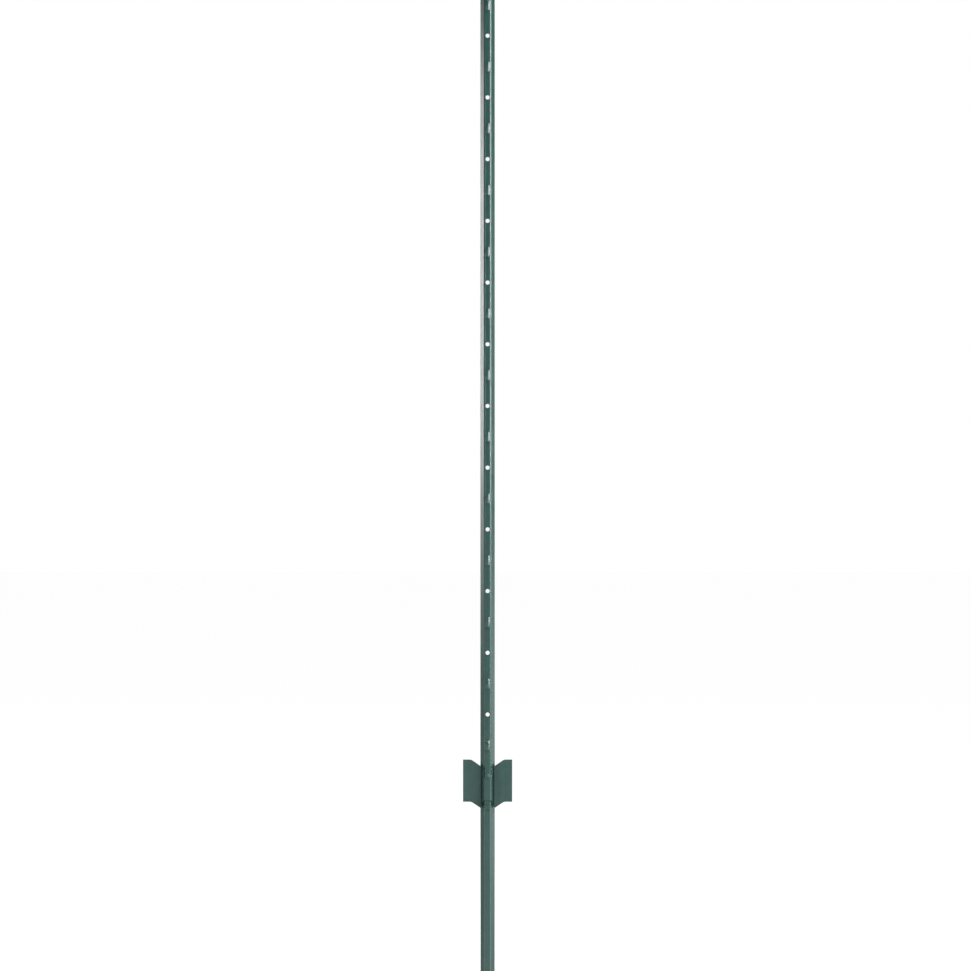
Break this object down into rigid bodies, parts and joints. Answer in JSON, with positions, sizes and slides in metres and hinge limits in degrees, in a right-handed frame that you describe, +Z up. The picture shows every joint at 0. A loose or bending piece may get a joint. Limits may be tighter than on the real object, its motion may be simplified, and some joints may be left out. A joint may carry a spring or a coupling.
{
  "type": "fence post",
  "caption": "Roll-formed steel U-channel fence post with a row of holes, lanced wire lugs and a folded, riveted anchor plate below the ground line.",
  "frame": {"origin": "on the post's centre line at the ground line, at mid-depth of the section", "axes": "+Z up along the post, -Y out of the front of the nose, +X across the post"},
  "size_m": [0.1012, 0.0283, 2.134],
  "materials": {
    "channel_paint": "semi-gloss dark green coat",
    "plate_paint": "semi-gloss dark green coat",
    "rivet_paint": "semi-gloss dark green coat"
  },
  "bodies": {
    "root": {"post_channel": "channel_paint", "anchor_plate": "plate_paint", "plate_rivet": "rivet_paint"}
  },
  "joints": []
}
